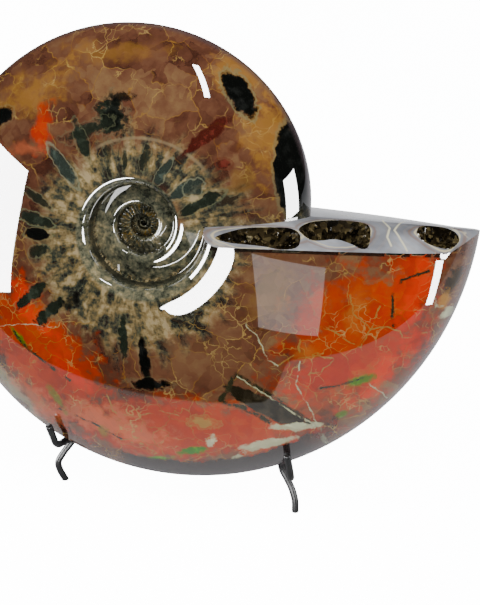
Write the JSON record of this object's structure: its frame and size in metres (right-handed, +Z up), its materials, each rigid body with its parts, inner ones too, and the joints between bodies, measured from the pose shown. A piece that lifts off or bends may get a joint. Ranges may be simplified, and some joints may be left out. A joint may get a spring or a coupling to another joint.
{
  "type": "ammonite fossil on a wire stand",
  "caption": "Polished ammonite fossil, its mouth cut and domed with crystal-lined hollows, leaning on a black wire easel.",
  "frame": {"origin": "middle of the whole object's footprint box, on the surface its feet stand on", "axes": "+Z up, +Y to the back (the fossil's face looks along -Y), +X to the right"},
  "size_m": [0.3132, 0.1718, 0.2725],
  "materials": {
    "polished_shell": "stone polished to a mirror gloss, brown, red, gold and dark green",
    "dark_crystal": "small dark glassy crystals",
    "black_wire": "satin black paint"
  },
  "bodies": {
    "root": {"ammonite": "polished_shell", "crystal_lining_inner": "dark_crystal", "crystal_lining_middle": "dark_crystal", "crystal_lining_outer": "dark_crystal", "left_leg": "black_wire", "right_leg": "black_wire", "left_hook": "black_wire", "right_hook": "black_wire", "cross_bar": "black_wire", "rear_leg": "black_wire"}
  },
  "joints": []
}
